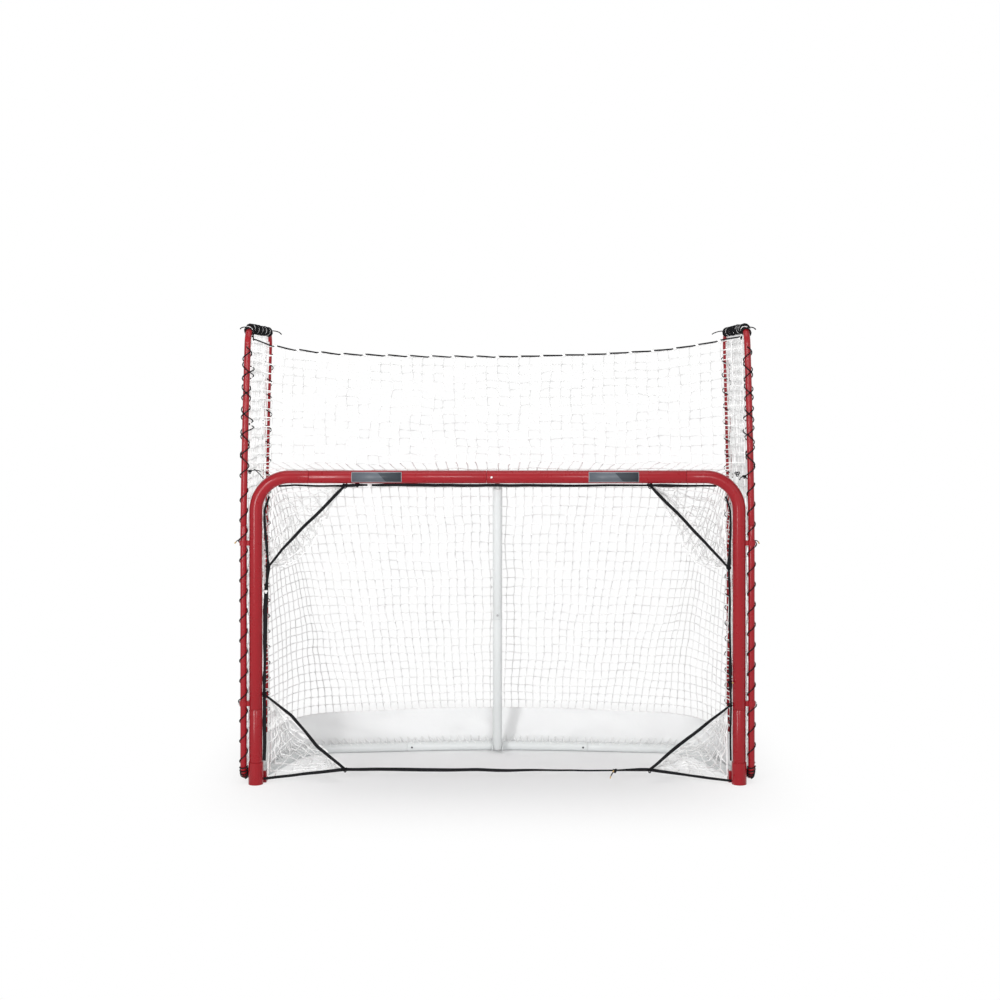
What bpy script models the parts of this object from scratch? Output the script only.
"""A folding hockey goal with a tubular front frame, a leaning centre post, a base that folds up,
corner pockets, and a tall backstop net between two side wings that swing out.

Metres, +Z up. X runs along the crossbar, the mouth faces -Y, and the origin is on the floor
under the middle of the goal's box. Depths are written as distances behind the front posts' axes.
"""

import math

import bmesh
import bpy
from mathutils import Matrix, Vector

# Clearance kept between neighbouring pieces
GAP = 0.0003

# Front frame
MOUTH_WIDTH = 1.8288
FRAME_HEIGHT = 1.2192
POST_R = 0.0254
POST_WALL = 0.0017
CORNER_BEND_R = 0.13
POST_SEAM_Z = 0.291
CROSSBAR_SEAM_X = 0.733
MIDDLE_SEAM_X = -0.043
NECK_LENGTH = 0.06
NECK_TAPER = 0.002
SLEEVE_HEIGHT = 0.085
SLEEVE_WALL = 0.0033
SLEEVE_FLOOR = 0.003
FRAME_SIDES = 16

# Base
BASE_R = 0.01905
BASE_WALL = 0.0015
BASE_CORNER_X = 0.80
BASE_CORNER_DEPTH = 0.50
BASE_CORNER_R = 0.20
BASE_MIDDLE_DEPTH = 0.5863
BASE_BOW_R = 3.1
BASE_ARC_STEPS = 8
ARM_BEND_DEPTH = 0.095
ARM_BEND_R = 0.1
BASE_SEAM_X = 0.383
BASE_NECK_LENGTH = 0.045
ARM_INSET = 0.0148
ARM_OVERHANG = 0.008
HINGE_PIN_R = 0.004
HINGE_PLATE = 0.003
HINGE_SIDE_GAP = 0.0008
TUBE_SIDES = 12

# Centre post
CENTRE_R = 0.01905
CENTRE_WALL = 0.0015
CENTRE_PIVOT_DEPTH = 0.058
CENTRE_PIVOT_DROP = 0.0392
CENTRE_END_RISE = 0.0174793
CENTRE_HEAD = 0.035
CENTRE_SEAM = 0.622
TONGUE_THICKNESS = 0.012
TONGUE_WIDTH = 0.026
BUTTON_R = 0.0045
BUTTON_STAND = 0.0035
BUTTON_BELOW_SEAM = 0.022
CRADLE_PLATE = 0.0025
CRADLE_LENGTH = 0.058

# Wings
WING_R = 0.0127
WING_WALL = 0.0012
WING_TOP = 1.785
WING_FOOT = 0.008
WING_DEPTH = 0.59
WING_BEND_R = 0.06
WING_POST_SPACE = 0.0097
WING_SEAM_Z = 1.005
WING_NECK_LENGTH = 0.05
WING_SIDES = 8
WING_BEND_STEPS = 3
BRACKET_HEIGHT = 0.02
BRACKET_LOW_Z = 0.313
BRACKET_PITCHES = 8
BRACKET_WALL = 0.003
BRACKET_HALF_WIDTH = 0.008
BOLT_R = 0.0055
BOLT_HEAD = 0.004

# Lacing
LACE_D = 0.0045
LACE_PITCH = 0.078
LACE_PLAY = 0.0019
TOP_LACE_PLAY = 0.0012
LACE_START_Z = 0.335
LACE_END_Z = 1.70
LACE_POINTS = 8
LACE_CROSSING = math.radians(5)
LACE_RISE = 0.006
TOP_LACE_TURNS = 10
TOP_LACE_PITCH = 0.044

# Nets, skirt, rope and straps
NET_THICKNESS = 0.0015
NET_STRAND = 0.014
SKIRT_THICKNESS = 0.003
SKIRT_TOP = 0.188
SKIRT_FOOT = 0.004
NET_TOP_Z = 1.185
NET_TOP_DEPTH = 0.082
NET_TOP_HALF = 0.86
NET_EDGE_TOP_Z = 1.055
BACKSTOP_FOLD_Z = 1.25
ROPE_D = 0.006
ROPE_END_Z = 1.735
ROPE_SAG = 0.074
ROPE_SHAPE = 4
BACKSTOP_COLUMNS = 12
STRAP_WIDTH = 0.013
STRAP_THICKNESS = 0.0018
TARGET_HALF_X = 0.592
TARGET_TOP_Z = 0.853
TARGET_LOW_Z = 0.325
STRAP_LIFT = 0.056
STRAP_END_LIFT = 0.02
POCKET_WALL = 0.003
POCKET_INSET = 0.02
POCKET_DEPTH = 0.045
POCKET_TIP_DEPTH = 0.12
POCKET_HANG = 0.06
LOWER_POCKET_INSET = 0.05
LOWER_POCKET_TOP_DEPTH = 0.055

# Plates on the crossbar
PLATE_LENGTH = 0.195
PLATE_HALF_ARC = math.radians(50)
PLATE_THICKNESS = 0.0012
PLATE_LEFT_X = -0.469
PLATE_RIGHT_X = 0.451
PLATE_STEPS = 8
SCREW_R = 0.004
SCREW_HEAD = 0.002

# Sizes worked out from those above
POST_X = MOUTH_WIDTH / 2 + POST_R
CROSSBAR_Z = FRAME_HEIGHT - POST_R
SLEEVE_R = POST_R + GAP + SLEEVE_WALL
WING_X = POST_X + POST_R + WING_POST_SPACE + WING_R
FRONT_Y = (SLEEVE_R - WING_DEPTH - WING_R) / 2
ARM_X = POST_X - ARM_INSET
BOW_TURN = math.atan2(BASE_MIDDLE_DEPTH - BASE_CORNER_DEPTH, BASE_CORNER_X)
BOW_ROOM = BASE_SEAM_X / math.cos(BOW_TURN) - BASE_NECK_LENGTH
BOW_R = min(BASE_BOW_R, BOW_ROOM / math.tan(BOW_TURN))
BASE_Z = BASE_R
HINGE_PLATE_DEPTH = SLEEVE_R + HINGE_PLATE
HINGE_DEPTH = HINGE_PLATE_DEPTH + math.hypot(BASE_R, ARM_OVERHANG) + GAP
PIVOT_Z = FRAME_HEIGHT - CENTRE_PIVOT_DROP
LACE_R = WING_R + LACE_D / 2 + LACE_PLAY
TOP_LACE_R = WING_R + LACE_D / 2 + TOP_LACE_PLAY
LACE_FLAT_R = LACE_D / 2 * math.cos(math.pi / 4)
BRACKET_HIGH_Z = BRACKET_LOW_Z + BRACKET_PITCHES * LACE_PITCH
BRACKET_R = WING_R + GAP + BRACKET_WALL
LACE_BRACKET_R = BRACKET_R + GAP + LACE_D / 2 + LACE_PLAY
WING_TOP_Z = WING_TOP - WING_R
STRAP_TOP_Z = CROSSBAR_Z - POST_R - GAP - STRAP_WIDTH / 2
STRAP_SIDE_X = MOUTH_WIDTH / 2 - GAP - STRAP_WIDTH / 2


def behind(x, depth, z):
    """A point given by its distance behind the front posts' axes."""
    return Vector((x, FRONT_Y + depth, z))


def clear_scene():
    for found in list(bpy.data.objects):
        bpy.data.objects.remove(found, do_unlink=True)


def make_material(name, colour, roughness, metallic=0.0):
    material = bpy.data.materials.new(name)
    material.use_nodes = True
    shader = material.node_tree.nodes["Principled BSDF"]
    shader.inputs["Base Color"].default_value = (*colour, 1.0)
    shader.inputs["Roughness"].default_value = roughness
    shader.inputs["Metallic"].default_value = metallic
    material.diffuse_color = (*colour, 1.0)
    return material


def add_object(name, data, material):
    made = bpy.data.objects.new(name, data)
    bpy.context.scene.collection.objects.link(made)
    data.materials.append(material)
    return made


def mesh_object(name, bm, material, smooth=True):
    bmesh.ops.recalc_face_normals(bm, faces=bm.faces[:])
    mesh = bpy.data.meshes.new(name)
    bm.to_mesh(mesh)
    bm.free()
    if smooth:
        mesh.shade_smooth()
        mesh.set_sharp_from_angle(angle=math.radians(40))
    return add_object(name, mesh, material)


def rounded(corners, radii, steps=6):
    """The corners as a line of points, with an arc of each radius at the corners between its ends."""
    points = [corners[0]]
    for before, corner, after, radius in zip(corners, corners[1:], corners[2:], radii):
        towards = (before - corner).normalized()
        away = (after - corner).normalized()
        half = towards.angle(away) / 2
        centre = corner + (towards + away).normalized() * (radius / math.sin(half))
        start = corner + towards * (radius / math.tan(half)) - centre
        axis = towards.cross(away)
        sweep = math.pi - 2 * half
        for step in range(steps + 1):
            turned = start.copy()
            turned.rotate(Matrix.Rotation(-sweep * step / steps, 3, axis))
            points.append(centre + turned)
    points.append(corners[-1])
    return points


def ring_frames(points):
    """A frame at each point, its Z along the line and with no twist from one to the next."""
    frames = []
    ahead = (points[1] - points[0]).normalized()
    side = ahead.orthogonal().normalized()
    for index, point in enumerate(points):
        before = points[max(index - 1, 0)]
        after = points[min(index + 1, len(points) - 1)]
        tangent = ((after - point).normalized() + (point - before).normalized()).normalized()
        side = (side - tangent * side.dot(tangent)).normalized()
        turn = Matrix((side, tangent.cross(side), tangent)).transposed()
        frames.append(Matrix.Translation(point) @ turn.to_4x4())
    return frames


def ring(bm, frame, radius, sides):
    return bmesh.ops.create_circle(bm, segments=sides, radius=radius, matrix=frame)["verts"]


def join_rings(bm, first, second):
    for index in range(len(first)):
        after = (index + 1) % len(first)
        bm.faces.new((first[index], first[after], second[after], second[index]))


def tube(name, points, radius, wall, sides, material, start_neck=0.0, end_neck=0.0):
    """A hollow tube along the points. A neck is a narrower end that fits inside the next tube."""
    points = list(points)
    radii = [radius] * len(points)
    neck = (radius - wall) * math.cos(math.pi / sides) - GAP
    if start_neck:
        ahead = (points[1] - points[0]).normalized()
        points = [points[0] - ahead * start_neck, points[0], points[0] + ahead * NECK_TAPER] + points[1:]
        radii = [neck, neck] + radii
    if end_neck:
        ahead = (points[-1] - points[-2]).normalized()
        points = points[:-1] + [points[-1] - ahead * NECK_TAPER, points[-1], points[-1] + ahead * end_neck]
        radii = radii + [neck, neck]
    frames = ring_frames(points)
    bm = bmesh.new()
    outer = [ring(bm, frame, size, sides) for frame, size in zip(frames, radii)]
    inner = [ring(bm, frame, size - wall, sides) for frame, size in zip(frames, radii)]
    for rings in (outer, inner):
        for first, second in zip(rings, rings[1:]):
            join_rings(bm, first, second)
    for index in (0, -1):
        join_rings(bm, outer[index], inner[index])
    return mesh_object(name, bm, material)


def rod(name, start, end, radius, sides, material):
    """A solid round bar between two points."""
    along = end - start
    turn = along.to_track_quat("Z", "Y").to_matrix().to_4x4()
    frame = Matrix.Translation((start + end) / 2) @ turn
    bm = bmesh.new()
    bmesh.ops.create_cone(
        bm, cap_ends=True, segments=sides, radius1=radius, radius2=radius, depth=along.length, matrix=frame
    )
    return mesh_object(name, bm, material)


def block(name, low, high, material, turn=None):
    """A box between two corners, turned about the middle of its frame where a turn is given."""
    low = Vector(low)
    high = Vector(high)
    bm = bmesh.new()
    size = Matrix.Diagonal((*(high - low), 1.0))
    bmesh.ops.create_cube(bm, size=1.0, matrix=Matrix.Translation((low + high) / 2) @ size)
    if turn is not None:
        bmesh.ops.transform(bm, matrix=turn, verts=bm.verts[:])
    return mesh_object(name, bm, material, smooth=False)


def combine(target, helper, operation):
    """Adds or cuts a helper shape, which stays in the file as a wire guide."""
    helper.hide_render = True
    helper.display_type = "WIRE"
    modifier = target.modifiers.new(operation.lower() + "_" + helper.name, "BOOLEAN")
    modifier.object = helper
    modifier.operation = operation
    modifier.solver = "EXACT"


def sheet(name, point_at, columns, rows, thickness, material, strand=0.0):
    """A thin sheet over a surface given by point_at(u, v), open between its strands where it is a net."""
    bm = bmesh.new()
    bmesh.ops.create_grid(bm, x_segments=columns, y_segments=rows, size=0.5)
    for vert in bm.verts:
        vert.co = point_at(vert.co.x + 0.5, vert.co.y + 0.5)
    bm.normal_update()
    if strand:
        cells = bm.faces[:]
        bmesh.ops.inset_individual(bm, faces=cells, thickness=strand / 2, use_even_offset=True)
        bmesh.ops.delete(bm, geom=cells, context="FACES")
    made = mesh_object(name, bm, material, smooth=False)
    solid = made.modifiers.new("thickness", "SOLIDIFY")
    solid.thickness = thickness
    solid.offset = 0.0
    return made


def cord(name, points, diameter, resolution, material):
    """A solid cord through the points."""
    curve = bpy.data.curves.new(name, "CURVE")
    curve.dimensions = "3D"
    curve.bevel_depth = diameter / 2
    curve.bevel_resolution = resolution
    curve.use_fill_caps = True
    spline = curve.splines.new("POLY")
    spline.points.add(len(points) - 1)
    for place, point in zip(spline.points, points):
        place.co = (*point, 1.0)
    return add_object(name, curve, material)


def strap(name, points, depth, material):
    """A flat webbing strap in the mouth's plane, along points given as x and height."""
    line = [Vector((x, 0.0, z)) for x, z in points]
    bm = bmesh.new()
    rows = []
    for index, point in enumerate(line):
        before = line[max(index - 1, 0)]
        after = line[min(index + 1, len(line) - 1)]
        tangent = (after - before).normalized()
        across = Vector((-tangent.z, 0.0, tangent.x)) * (STRAP_WIDTH / 2)
        place = point + Vector((0.0, FRONT_Y + depth, 0.0))
        rows.append((bm.verts.new(place - across), bm.verts.new(place + across)))
    for first, second in zip(rows, rows[1:]):
        bm.faces.new((first[0], second[0], second[1], first[1]))
    made = mesh_object(name, bm, material, smooth=False)
    solid = made.modifiers.new("thickness", "SOLIDIFY")
    solid.thickness = STRAP_THICKNESS
    solid.offset = 0.0
    return made


def hang_on(pieces, name, place):
    """Parents pieces to an empty on their joint's axis, leaving them where they are."""
    empty = bpy.data.objects.new(name, None)
    empty.location = place
    bpy.context.scene.collection.objects.link(empty)
    for piece in pieces:
        piece.parent = empty
        piece.location = -place
        for modifier in piece.modifiers:
            if modifier.type == "BOOLEAN":
                modifier.object.parent = empty
                modifier.object.location = -place
    return empty


def base_line(offset):
    """The base's plan behind the arms' bends, moved outwards by an offset, from left to right."""
    plan = [(-ARM_X, ARM_BEND_DEPTH), (-BASE_CORNER_X, BASE_CORNER_DEPTH), (0.0, BASE_MIDDLE_DEPTH)]
    plan += [(-x, depth) for x, depth in reversed(plan[:2])]
    corners = [behind(x, depth, BASE_Z) for x, depth in plan]
    points = rounded(corners, (BASE_CORNER_R, BOW_R, BASE_CORNER_R), BASE_ARC_STEPS)
    moved = []
    for index, point in enumerate(points):
        before = points[max(index - 1, 0)]
        after = points[min(index + 1, len(points) - 1)]
        tangent = (after - before).normalized()
        moved.append(point + Vector((-tangent.y, tangent.x, 0.0)) * offset)
    return moved


def along(points, share):
    """The point at a share of the way along a line of points."""
    steps = [(second - first).length for first, second in zip(points, points[1:])]
    left = share * sum(steps)
    for first, second, step in zip(points, points[1:], steps):
        if left <= step:
            return first.lerp(second, left / step)
        left -= step
    return points[-1].copy()


def share_at_corner(points):
    """How far along the left half the base's rounded corner has its middle."""
    lengths = [0.0]
    for first, second in zip(points, points[1:]):
        lengths.append(lengths[-1] + (second - first).length)
    return lengths[5] / lengths[-1]


clear_scene()

red = make_material("red_paint", (0.52, 0.02, 0.035), 0.28)
white = make_material("white_paint", (0.80, 0.82, 0.82), 0.35)
white_net = make_material("white_net", (0.85, 0.85, 0.84), 0.8)
vinyl = make_material("white_vinyl", (0.84, 0.85, 0.85), 0.5)
black = make_material("black_cord", (0.014, 0.015, 0.017), 0.75)
webbing = make_material("black_webbing", (0.012, 0.013, 0.014), 0.8)
zinc = make_material("zinc_plate", (0.62, 0.62, 0.63), 0.35, 0.9)
slate = make_material("slate_plate", (0.045, 0.055, 0.07), 0.4)


# Front frame
def side_name(side):
    return "left" if side < 0 else "right"


for side in (-1, 1):
    word = side_name(side)
    x = side * POST_X
    foot = behind(x, 0.0, SLEEVE_FLOOR + GAP)
    seam = behind(x, 0.0, POST_SEAM_Z)
    tube(word + "_post", [foot, seam], POST_R, POST_WALL, FRAME_SIDES, red, end_neck=NECK_LENGTH)
    bend = rounded(
        [
            seam + Vector((0.0, 0.0, GAP)),
            behind(x, 0.0, CROSSBAR_Z),
            behind(side * CROSSBAR_SEAM_X, 0.0, CROSSBAR_Z),
        ],
        [CORNER_BEND_R],
        6,
    )
    tube(word + "_corner_bend", bend, POST_R, POST_WALL, FRAME_SIDES, red, end_neck=NECK_LENGTH)

left_bar = [
    behind(GAP - CROSSBAR_SEAM_X, 0.0, CROSSBAR_Z),
    behind(MIDDLE_SEAM_X, 0.0, CROSSBAR_Z),
]
right_bar = [
    behind(MIDDLE_SEAM_X + GAP, 0.0, CROSSBAR_Z),
    behind(CROSSBAR_SEAM_X - GAP, 0.0, CROSSBAR_Z),
]
tube("left_crossbar_tube", left_bar, POST_R, POST_WALL, FRAME_SIDES, red, end_neck=NECK_LENGTH)
tube("right_crossbar_tube", right_bar, POST_R, POST_WALL, FRAME_SIDES, red)

# Feet, each a sleeve round the post with a channel behind it that holds the base's hinge pin
for side in (-1, 1):
    word = side_name(side)
    x = side * POST_X
    arm_x = side * ARM_X
    half_inside = BASE_R + HINGE_SIDE_GAP
    half_outside = half_inside + HINGE_PLATE
    low = behind(x, 0.0, 0.0)
    high = behind(x, 0.0, SLEEVE_HEIGHT)
    sleeve = rod(word + "_foot_sleeve", low, high, SLEEVE_R, FRAME_SIDES, red)
    channel = block(
        word + "_channel_guide",
        behind(arm_x - half_outside, 0.02, 0.0),
        behind(arm_x + half_outside, HINGE_DEPTH + 0.012, 2 * BASE_R + 0.006),
        red,
    )
    room = block(
        word + "_channel_room_guide",
        behind(arm_x - half_inside, HINGE_PLATE_DEPTH, -0.01),
        behind(arm_x + half_inside, HINGE_DEPTH + 0.05, 0.1),
        red,
    )
    bore = rod(
        word + "_sleeve_bore_guide",
        behind(x, 0.0, SLEEVE_FLOOR),
        behind(x, 0.0, SLEEVE_HEIGHT + 0.01),
        POST_R + GAP,
        FRAME_SIDES,
        red,
    )
    pin_start = behind(arm_x - half_outside - 0.002, HINGE_DEPTH, BASE_Z)
    pin_end = behind(arm_x + half_outside + 0.002, HINGE_DEPTH, BASE_Z)
    pin_hole = rod(word + "_ear_hole_guide", pin_start, pin_end, HINGE_PIN_R + GAP, TUBE_SIDES, red)
    combine(sleeve, channel, "UNION")
    combine(sleeve, room, "DIFFERENCE")
    combine(sleeve, bore, "DIFFERENCE")
    combine(sleeve, pin_hole, "DIFFERENCE")
    rod(word + "_hinge_pin", pin_start, pin_end, HINGE_PIN_R, TUBE_SIDES, zinc)

# Base arms, rear bar and the cradle that the centre post stands in
base_pieces = []
arm_front = HINGE_DEPTH - ARM_OVERHANG
seam_share = BASE_SEAM_X / BASE_CORNER_X
seam_depth = BASE_MIDDLE_DEPTH + (BASE_CORNER_DEPTH - BASE_MIDDLE_DEPTH) * seam_share
for side in (-1, 1):
    word = side_name(side)
    arm_line = rounded(
        [
            behind(side * ARM_X, arm_front, BASE_Z),
            behind(side * ARM_X, ARM_BEND_DEPTH, BASE_Z),
            behind(side * BASE_CORNER_X, BASE_CORNER_DEPTH, BASE_Z),
            behind(side * BASE_SEAM_X, seam_depth, BASE_Z),
        ],
        [ARM_BEND_R, BASE_CORNER_R],
        BASE_ARC_STEPS,
    )
    arm = tube(
        word + "_base_arm", arm_line, BASE_R, BASE_WALL, TUBE_SIDES, white, end_neck=BASE_NECK_LENGTH
    )
    arm_hole = rod(
        word + "_arm_hole_guide",
        behind(side * ARM_X - 0.03, HINGE_DEPTH, BASE_Z),
        behind(side * ARM_X + 0.03, HINGE_DEPTH, BASE_Z),
        HINGE_PIN_R + GAP,
        TUBE_SIDES,
        white,
    )
    combine(arm, arm_hole, "DIFFERENCE")
    screw_x = side * (BASE_SEAM_X - 0.02)
    bar_ahead = Vector((BASE_CORNER_X, BASE_CORNER_DEPTH - BASE_MIDDLE_DEPTH, 0.0)).normalized()
    bar_depth = BASE_MIDDLE_DEPTH - abs(screw_x) * (BASE_MIDDLE_DEPTH - BASE_CORNER_DEPTH) / BASE_CORNER_X
    out = Vector((side * bar_ahead.y, -bar_ahead.x, 0.0))
    screw_place = behind(screw_x, bar_depth, BASE_Z) + out * (BASE_R + GAP)
    screw = rod(
        word + "_base_screw", screw_place, screw_place + out * SCREW_HEAD, SCREW_R, TUBE_SIDES, zinc
    )
    base_pieces += [arm, screw]

bar_line = rounded(
    [
        behind(GAP - BASE_SEAM_X, seam_depth, BASE_Z),
        behind(0.0, BASE_MIDDLE_DEPTH, BASE_Z),
        behind(BASE_SEAM_X - GAP, seam_depth, BASE_Z),
    ],
    [BOW_R],
    BASE_ARC_STEPS,
)
rear_bar = tube("rear_base_bar", bar_line, BASE_R, BASE_WALL, TUBE_SIDES, white)
rear_depth = along(bar_line, 0.5).y - FRONT_Y

# The post leans so that it passes just in front of the rear bar
post_offset = BASE_R + CENTRE_R + CRADLE_PLATE + 3 * GAP
reach = rear_depth - CENTRE_PIVOT_DEPTH
drop = PIVOT_Z - BASE_Z
post_lean = math.acos(post_offset / math.hypot(reach, drop)) - math.atan2(drop, reach)
post_axis = Vector((0.0, math.sin(post_lean), -math.cos(post_lean)))
post_front = Vector((0.0, -math.cos(post_lean), -math.sin(post_lean)))
pivot = behind(0.0, CENTRE_PIVOT_DEPTH, PIVOT_Z)
cradle_turn = Matrix.Translation(pivot) @ Matrix.Rotation(post_lean, 4, "X")
rear_distance = math.sqrt(math.hypot(reach, drop) ** 2 - post_offset**2)
centre_length = rear_distance - CENTRE_END_RISE

ear_inside = CENTRE_R + HINGE_SIDE_GAP
cradle = block(
    "post_cradle",
    (-ear_inside - HINGE_PLATE, -CENTRE_R - 0.004, -centre_length),
    (ear_inside + HINGE_PLATE, post_offset, CRADLE_LENGTH / 2 - rear_distance),
    white,
    cradle_turn,
)
cradle_room = block(
    "cradle_room_guide",
    (-ear_inside, -0.1, -centre_length - 0.1),
    (ear_inside, CENTRE_R + 2 * GAP, CRADLE_LENGTH - rear_distance),
    white,
    cradle_turn,
)
bar_guide = rod(
    "rear_bar_guide",
    behind(-0.1, rear_depth, BASE_Z),
    behind(0.1, rear_depth, BASE_Z),
    BASE_R + GAP,
    24,
    white,
)
combine(cradle, cradle_room, "DIFFERENCE")
combine(cradle, bar_guide, "DIFFERENCE")
base_pieces += [rear_bar, cradle]
hang_on(base_pieces, "base_fold_axis", behind(0.0, HINGE_DEPTH, BASE_Z))

# Clevis behind the crossbar, its pin, and the centre post that swings on it
tongue_half = TONGUE_THICKNESS / 2
ear_start = tongue_half + HINGE_SIDE_GAP
ear_end = ear_start + HINGE_PLATE
ear_depth = CENTRE_PIVOT_DEPTH + TONGUE_WIDTH / 2
clevis = block(
    "crossbar_clevis",
    behind(-ear_end, 0.008, PIVOT_Z - TONGUE_WIDTH / 2),
    behind(ear_end, ear_depth, PIVOT_Z + TONGUE_WIDTH / 2),
    red,
)
clevis_room = block(
    "clevis_room_guide",
    behind(-ear_start, CENTRE_PIVOT_DEPTH - TONGUE_WIDTH / 2 - 0.003, PIVOT_Z - TONGUE_WIDTH),
    behind(ear_start, ear_depth + 0.01, PIVOT_Z + TONGUE_WIDTH),
    red,
)
crossbar_guide = rod(
    "crossbar_guide",
    behind(-0.05, 0.0, CROSSBAR_Z),
    behind(0.05, 0.0, CROSSBAR_Z),
    POST_R + GAP,
    FRAME_SIDES * 2,
    red,
)
clevis_pin_start = pivot - Vector((ear_end + 0.003, 0.0, 0.0))
clevis_pin_end = pivot + Vector((ear_end + 0.003, 0.0, 0.0))
clevis_hole = rod("clevis_hole_guide", clevis_pin_start, clevis_pin_end, HINGE_PIN_R + GAP, TUBE_SIDES, red)
combine(clevis, clevis_room, "DIFFERENCE")
combine(clevis, crossbar_guide, "DIFFERENCE")
combine(clevis, clevis_hole, "DIFFERENCE")
rod("clevis_pin", clevis_pin_start, clevis_pin_end, HINGE_PIN_R, TUBE_SIDES, zinc)


def on_post(distance, forward=0.0):
    """A point at a distance down the centre post from its pivot, moved to the post's front side."""
    return pivot + post_axis * distance + post_front * forward


knuckle = rod(
    "post_knuckle",
    on_post(CENTRE_HEAD),
    on_post(CENTRE_HEAD + NECK_LENGTH),
    (CENTRE_R - CENTRE_WALL) * math.cos(math.pi / TUBE_SIDES) - GAP,
    TUBE_SIDES,
    white,
)
tongue = block(
    "tongue_guide",
    (-tongue_half, -TONGUE_WIDTH / 2, -CENTRE_HEAD - 0.01),
    (tongue_half, TONGUE_WIDTH / 2, 0.0),
    white,
    cradle_turn,
)
tongue_end = rod(
    "tongue_end_guide",
    pivot - Vector((tongue_half, 0.0, 0.0)),
    pivot + Vector((tongue_half, 0.0, 0.0)),
    TONGUE_WIDTH / 2,
    TUBE_SIDES * 2,
    white,
)
tongue_hole = rod(
    "tongue_hole_guide",
    pivot - Vector((0.02, 0.0, 0.0)),
    pivot + Vector((0.02, 0.0, 0.0)),
    HINGE_PIN_R + GAP,
    TUBE_SIDES,
    white,
)
combine(knuckle, tongue, "UNION")
combine(knuckle, tongue_end, "UNION")
combine(knuckle, tongue_hole, "DIFFERENCE")

upper_tube = tube(
    "post_upper_tube",
    [on_post(CENTRE_HEAD + GAP), on_post(CENTRE_SEAM)],
    CENTRE_R,
    CENTRE_WALL,
    TUBE_SIDES,
    white,
)
lower_tube = tube(
    "post_lower_tube",
    [on_post(CENTRE_SEAM + GAP), on_post(centre_length)],
    CENTRE_R,
    CENTRE_WALL,
    TUBE_SIDES,
    white,
    start_neck=NECK_LENGTH,
)
button_at = CENTRE_SEAM - BUTTON_BELOW_SEAM
button_back = CENTRE_R - CENTRE_WALL - GAP - CENTRE_WALL - 0.004
button = rod(
    "snap_button",
    on_post(button_at, button_back),
    on_post(button_at, CENTRE_R + BUTTON_STAND),
    BUTTON_R,
    TUBE_SIDES,
    zinc,
)
for target in (upper_tube, lower_tube):
    button_hole = rod(
        target.name + "_button_guide",
        on_post(button_at, 0.0),
        on_post(button_at, CENTRE_R + 0.02),
        BUTTON_R + GAP,
        TUBE_SIDES,
        white,
    )
    combine(target, button_hole, "DIFFERENCE")
hang_on([knuckle, upper_tube, lower_tube, button], "post_swing_axis", pivot)


# Wings, built for the right side and mirrored for the left
def wing_point(side, depth, z):
    return behind(side * WING_X, depth, z)


def lace_angle(z):
    """The turn of the front lacing at a height. It crosses the upper bracket on its free side."""
    return LACE_CROSSING + 2 * math.pi * (z - BRACKET_HIGH_Z) / LACE_PITCH


def lace_radius(z):
    """The front lacing hugs the upright and rises over the bracket's ring."""
    over = LACE_BRACKET_R - LACE_R
    away = abs(z - BRACKET_HIGH_Z) - BRACKET_HEIGHT / 2 - LACE_RISE
    return LACE_R + over * min(1.0, max(0.0, 1.0 - away / LACE_RISE))


def wing_corner(depth, z):
    """Draws a point of the wing's net in to the inside of the frame's round corners."""
    inside = WING_BEND_R * math.cos(math.pi / 4 / WING_BEND_STEPS) - WING_R - 3 * GAP
    top_centre = WING_TOP_Z - WING_BEND_R
    low_centre = WING_FOOT + WING_R + WING_BEND_R
    rear_centre = WING_DEPTH - WING_BEND_R
    reach_y = max(0.0, depth - rear_centre) - max(0.0, WING_BEND_R - depth)
    reach_z = max(0.0, z - top_centre) - max(0.0, low_centre - z)
    length = math.hypot(reach_y, reach_z)
    if reach_y == 0.0 or reach_z == 0.0 or length <= inside:
        return depth, z
    shrink = 1.0 - inside / length
    return depth - reach_y * shrink, z - reach_z * shrink


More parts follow.
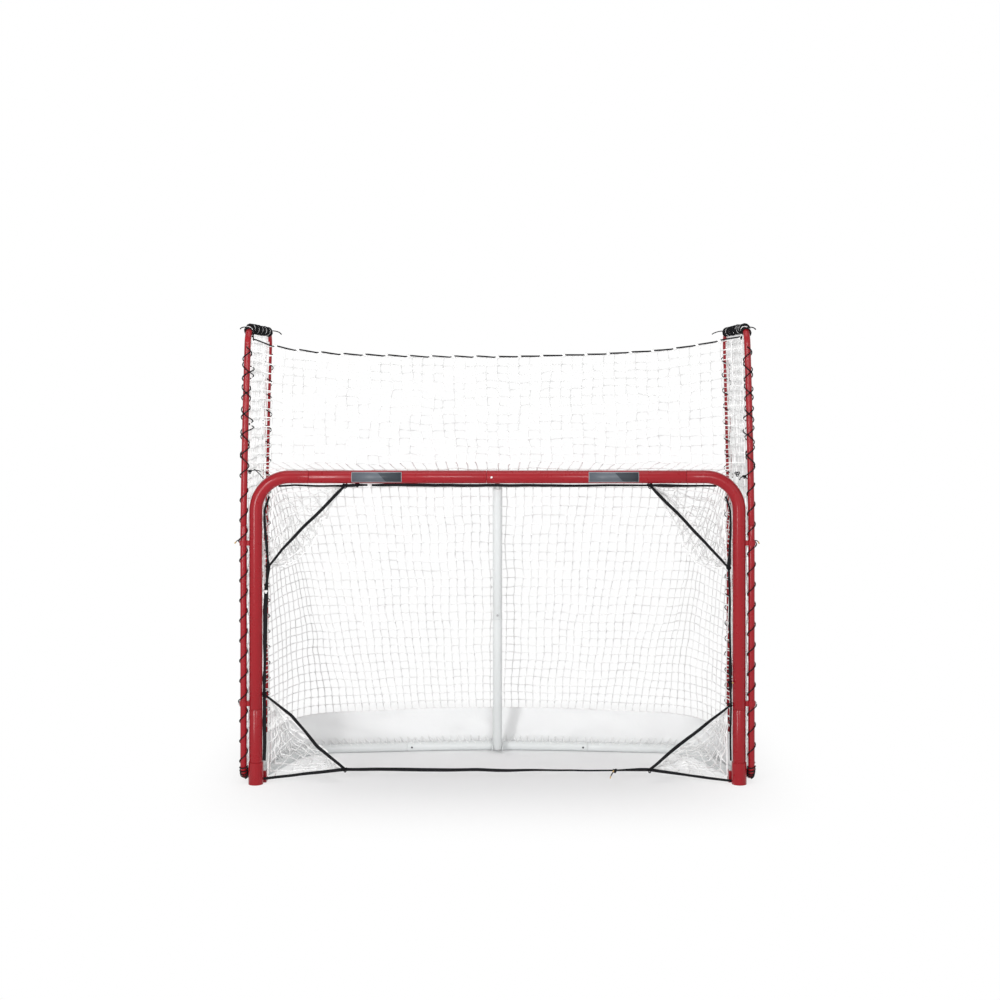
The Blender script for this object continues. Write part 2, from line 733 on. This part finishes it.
def make_wing(side):
    word = side_name(side)
    top = rounded(
        [
            wing_point(side, 0.0, WING_SEAM_Z + GAP),
            wing_point(side, 0.0, WING_TOP_Z),
            wing_point(side, WING_DEPTH, WING_TOP_Z),
            wing_point(side, WING_DEPTH, WING_SEAM_Z + GAP),
        ],
        [WING_BEND_R, WING_BEND_R],
        WING_BEND_STEPS,
    )
    upper = tube(word + "_wing_upper_frame", top, WING_R, WING_WALL, WING_SIDES, red)
    bottom_z = WING_FOOT + WING_R
    bottom = rounded(
        [
            wing_point(side, 0.0, WING_SEAM_Z),
            wing_point(side, 0.0, bottom_z),
            wing_point(side, WING_DEPTH, bottom_z),
            wing_point(side, WING_DEPTH, WING_SEAM_Z),
        ],
        [WING_BEND_R, WING_BEND_R],
        WING_BEND_STEPS,
    )
    lower = tube(
        word + "_wing_lower_frame",
        bottom,
        WING_R,
        WING_WALL,
        WING_SIDES,
        red,
        start_neck=WING_NECK_LENGTH,
        end_neck=WING_NECK_LENGTH,
    )
    front = LACE_BRACKET_R + LACE_D / 2 + 2 * GAP
    back = WING_DEPTH - WING_R - 3 * GAP
    low = WING_FOOT + 2 * WING_R + 3 * GAP
    high = WING_TOP_Z - TOP_LACE_R - LACE_FLAT_R - GAP

    def net_at(u, v):
        depth, z = wing_corner(front + (back - front) * u, low + (high - low) * v)
        return wing_point(side, depth, z)

    net = sheet(word + "_wing_net", net_at, 2, 6, NET_THICKNESS, white_net, NET_STRAND)
    turns = (LACE_END_Z - LACE_START_Z) / LACE_PITCH
    count = int(turns * LACE_POINTS)
    helix = []
    for step in range(count + 1):
        z = LACE_START_Z + (LACE_END_Z - LACE_START_Z) * step / count
        angle = lace_angle(z)
        radius = lace_radius(z)
        out = side * radius * math.cos(angle)
        helix.append(behind(side * WING_X + out, radius * math.sin(angle), z))
    front_lace = cord(word + "_wing_front_lacing", helix, LACE_D, 0, black)
    count = TOP_LACE_TURNS * LACE_POINTS
    start = (WING_DEPTH - TOP_LACE_TURNS * TOP_LACE_PITCH) / 2
    wraps = []
    for step in range(count + 1):
        angle = 2 * math.pi * step / LACE_POINTS
        depth = start + TOP_LACE_PITCH * step / LACE_POINTS
        out = side * TOP_LACE_R * math.sin(angle)
        wraps.append(behind(side * WING_X + out, depth, WING_TOP_Z + TOP_LACE_R * math.cos(angle)))
    top_lace = cord(word + "_wing_top_lacing", wraps, LACE_D, 0, black)
    print(word, "lacing's least gap to itself, mm:", round((LACE_PITCH - LACE_D) * 1000, 1))
    print(word, "top lacing's least gap to itself, mm:", round((TOP_LACE_PITCH - LACE_D) * 1000, 1))
    hang_on([upper, lower, net, front_lace, top_lace], word + "_wing_axis", wing_point(side, 0.0, 0.0))


for side in (-1, 1):
    make_wing(side)
    word = side_name(side)
    for level, z in (("lower", BRACKET_LOW_Z), ("upper", BRACKET_HIGH_Z)):
        low = z - BRACKET_HEIGHT / 2
        high = z + BRACKET_HEIGHT / 2
        name = word + "_" + level + "_wing_bracket"
        bracket = rod(name, wing_point(side, 0.0, low), wing_point(side, 0.0, high), BRACKET_R, FRAME_SIDES, red)
        inner_x = POST_X + POST_R - 0.008
        outer_x = WING_X - WING_R / 2
        bridge = block(
            name + "_bridge_guide",
            behind(min(side * inner_x, side * outer_x), -BRACKET_HALF_WIDTH, low),
            behind(max(side * inner_x, side * outer_x), BRACKET_HALF_WIDTH, high),
            red,
        )
        wing_bore = rod(
            name + "_bore_guide",
            wing_point(side, 0.0, low - 0.01),
            wing_point(side, 0.0, high + 0.01),
            WING_R + GAP,
            FRAME_SIDES,
            red,
        )
        post_bore = rod(
            name + "_saddle_guide",
            behind(side * POST_X, 0.0, low - 0.01),
            behind(side * POST_X, 0.0, high + 0.01),
            POST_R + GAP,
            FRAME_SIDES * 2,
            red,
        )
        combine(bracket, bridge, "UNION")
        combine(bracket, wing_bore, "DIFFERENCE")
        combine(bracket, post_bore, "DIFFERENCE")
    bolt_start = wing_point(side, 0.0, BRACKET_LOW_Z) + Vector((side * (BRACKET_R + GAP), 0.0, 0.0))
    bolt_end = bolt_start + Vector((side * BOLT_HEAD, 0.0, 0.0))
    rod(word + "_bracket_bolt", bolt_start, bolt_end, BOLT_R, 6, zinc)

# Plates and the screw on the crossbar
for word, plate_x in (("left", PLATE_LEFT_X), ("right", PLATE_RIGHT_X)):
    plate_r = POST_R + GAP + PLATE_THICKNESS / 2

    def plate_at(u, v):
        angle = PLATE_HALF_ARC * (2 * v - 1)
        x = plate_x + PLATE_LENGTH * (u - 0.5)
        return behind(x, -plate_r * math.cos(angle), CROSSBAR_Z + plate_r * math.sin(angle))

    sheet(word + "_crossbar_plate", plate_at, 1, PLATE_STEPS, PLATE_THICKNESS, slate)

screw_start = behind(MIDDLE_SEAM_X + 0.02, -POST_R - GAP, CROSSBAR_Z)
rod("crossbar_screw", screw_start, screw_start - Vector((0.0, SCREW_HEAD, 0.0)), SCREW_R, TUBE_SIDES, zinc)

# Skirt round the base, and the goal's nets
skirt_line = base_line(BASE_R + GAP + SKIRT_THICKNESS / 2 + GAP)
skirt_columns = len(skirt_line) - 1


def skirt_at(u, v):
    place = skirt_line[round(u * skirt_columns)]
    return Vector((place.x, place.y, SKIRT_FOOT + (SKIRT_TOP - SKIRT_FOOT) * v))


sheet("skirt", skirt_at, skirt_columns, 1, SKIRT_THICKNESS, vinyl)

corner_share = share_at_corner(skirt_line)
edge_x = POST_X + 0.018
edge_depth = math.sqrt((POST_R + NET_THICKNESS / 2 + 2 * GAP) ** 2 - (edge_x - POST_X) ** 2)
net_foot_z = SKIRT_TOP + NET_THICKNESS / 4 + GAP


def rear_net_at(u, v):
    low = along(skirt_line, corner_share + (1 - 2 * corner_share) * u)
    low.z = net_foot_z
    high = behind(NET_TOP_HALF * (2 * u - 1), NET_TOP_DEPTH, NET_TOP_Z)
    return low.lerp(high, v)


sheet("rear_net", rear_net_at, 8, 4, NET_THICKNESS, white_net, NET_STRAND)


def side_net_at(side, u, v):
    """From the post at u = 0 to just short of the rear net's edge at u = 1."""
    share = corner_share * u - 0.002 * u
    low = along(skirt_line, share if side < 0 else 1 - share)
    low.z = net_foot_z
    front = behind(side * edge_x, edge_depth, net_foot_z + (NET_EDGE_TOP_Z - net_foot_z) * v)
    back = along(skirt_line, corner_share - 0.002 if side < 0 else 1 - corner_share + 0.002)
    back.z = net_foot_z
    back = back.lerp(behind(side * (NET_TOP_HALF + 0.004), NET_TOP_DEPTH, NET_TOP_Z), v)
    level = front.lerp(back, u)
    return level.lerp(Vector((low.x, low.y, level.z)), (1 - v) * min(1.0, 4 * u))


for side in (-1, 1):

    def net_at(u, v, side=side):
        return side_net_at(side, u, v)

    sheet(side_name(side) + "_side_net", net_at, 2, 4, NET_THICKNESS, white_net, NET_STRAND)

# Backstop net, and the rope that is woven through its top row
rope_half = WING_X - LACE_R - LACE_D / 2 - GAP


def rope_z(x):
    return ROPE_END_Z - ROPE_SAG * (1 - abs(x / rope_half) ** ROPE_SHAPE)


rope_points = []
for step in range(BACKSTOP_COLUMNS + 1):
    rope_x = rope_half * (2 * step / BACKSTOP_COLUMNS - 1)
    rope_points.append(behind(rope_x, 0.0, rope_z(rope_x)))
cord("backstop_rope", rope_points, ROPE_D, 1, black)

fold_share = 0.25
rope_step = 2 * rope_half / BACKSTOP_COLUMNS
rope_slope = (rope_z(rope_half) - rope_z(rope_half - rope_step)) / rope_step
rope_below = (ROPE_D / 2 + GAP) * math.hypot(1.0, rope_slope)


def backstop_at(u, v):
    x = (2 * u - 1) * (rope_half - GAP)
    high = rope_z(x) - rope_below
    if v >= fold_share:
        return behind(x, 0.0, BACKSTOP_FOLD_Z + (high - BACKSTOP_FOLD_Z) * (v - fold_share) / (1 - fold_share))
    low = behind((2 * u - 1) * NET_TOP_HALF, NET_TOP_DEPTH, NET_TOP_Z + 0.008)
    return low.lerp(behind(x, 0.0, BACKSTOP_FOLD_Z), v / fold_share)


sheet("backstop_net", backstop_at, BACKSTOP_COLUMNS, 4, NET_THICKNESS, white_net, NET_STRAND)

# Straps of the shooting target
strap_x = STRAP_SIDE_X
top_half = POST_X - CORNER_BEND_R
strap("top_strap", [(-top_half, STRAP_TOP_Z), (top_half, STRAP_TOP_Z)], 0.0, webbing)
bottom_end = POST_X - SLEEVE_R - 4 * GAP
strap(
    "bottom_strap",
    [
        (-bottom_end, STRAP_END_LIFT),
        (-TARGET_HALF_X, STRAP_LIFT),
        (TARGET_HALF_X, STRAP_LIFT),
        (bottom_end, STRAP_END_LIFT),
    ],
    0.0,
    webbing,
)
layer = STRAP_THICKNESS + GAP
for side in (-1, 1):
    word = side_name(side)
    x = side * strap_x
    strap(word + "_strap", [(x, SLEEVE_HEIGHT + 0.005), (x, CROSSBAR_Z - CORNER_BEND_R)], 0.0, webbing)
    target_x = side * TARGET_HALF_X
    strap(word + "_upper_diagonal", [(target_x, STRAP_TOP_Z), (x, TARGET_TOP_Z)], -layer, webbing)
    strap(word + "_lower_diagonal", [(target_x, STRAP_LIFT), (x, TARGET_LOW_Z)], -layer, webbing)


# Pockets behind the four corners, each a bag that is open towards the front
def inside_triangle(corners, wall):
    """A triangle whose sides lie a wall's thickness inside the given one."""
    first, second, third = corners
    weights = [(second - third).length, (third - first).length, (first - second).length]
    centre = (first * weights[0] + second * weights[1] + third * weights[2]) / sum(weights)
    inradius = (second - first).cross(third - first).length / sum(weights)
    return [centre + (corner - centre) * (1 - wall / inradius) for corner in corners]


def hull(name, points, material):
    bm = bmesh.new()
    verts = [bm.verts.new(point) for point in points]
    bmesh.ops.convex_hull(bm, input=verts)
    return mesh_object(name, bm, material, smooth=False)


def make_pocket(name, mouth, tips):
    """A bag of flat sides, open at its mouth: a closed block with a smaller one cut out of it."""
    front = [behind(x, layer, z) for x, z in mouth]
    back = [behind(x, depth, z) for x, depth, z in tips]
    pocket = hull(name, front + back, white_net)
    ahead = Vector((0.0, -POCKET_WALL, 0.0))
    room_front = inside_triangle(front, POCKET_WALL)
    room_back = [corner + ahead for corner in inside_triangle(back, POCKET_WALL)]
    past = [near + (near - far) * 0.1 for near, far in zip(room_front, room_back)]
    room = hull(name + "_room_guide", past + room_back, white_net)
    combine(pocket, room, "DIFFERENCE")


for side in (-1, 1):
    word = side_name(side)
    outer = strap_x - STRAP_WIDTH / 2
    inner = TARGET_HALF_X + POCKET_INSET
    high = STRAP_TOP_Z - STRAP_WIDTH / 2 - GAP
    corner_reach = (CORNER_BEND_R - POST_R) * math.sqrt(0.5) - POCKET_WALL
    corner_x = POST_X - CORNER_BEND_R + corner_reach
    corner_z = CROSSBAR_Z - CORNER_BEND_R + corner_reach
    upper_mouth = [(corner_x, corner_z), (inner, high), (outer, TARGET_TOP_Z + POCKET_INSET)]
    upper_tips = [
        (corner_x - POCKET_INSET, POCKET_DEPTH, high - POCKET_HANG),
        (inner + POCKET_INSET, POCKET_DEPTH, high - POCKET_HANG),
        (outer - POCKET_INSET, POCKET_TIP_DEPTH, TARGET_TOP_Z - POCKET_HANG),
    ]
    low = STRAP_LIFT + STRAP_WIDTH
    lower_mouth = [(outer, low), (inner, low), (outer, TARGET_LOW_Z - POCKET_INSET)]
    lower_tips = [
        (outer - LOWER_POCKET_INSET, POCKET_TIP_DEPTH, low - POCKET_INSET),
        (inner + POCKET_INSET, POCKET_TIP_DEPTH, low - POCKET_INSET),
        (outer - LOWER_POCKET_INSET, LOWER_POCKET_TOP_DEPTH, TARGET_LOW_Z - 2 * POCKET_HANG),
    ]
    for level, mouth, tips in (("upper", upper_mouth, upper_tips), ("lower", lower_mouth, lower_tips)):
        make_pocket(
            word + "_" + level + "_pocket",
            [(side * x, z) for x, z in mouth],
            [(side * x, depth, z) for x, depth, z in tips],
        )
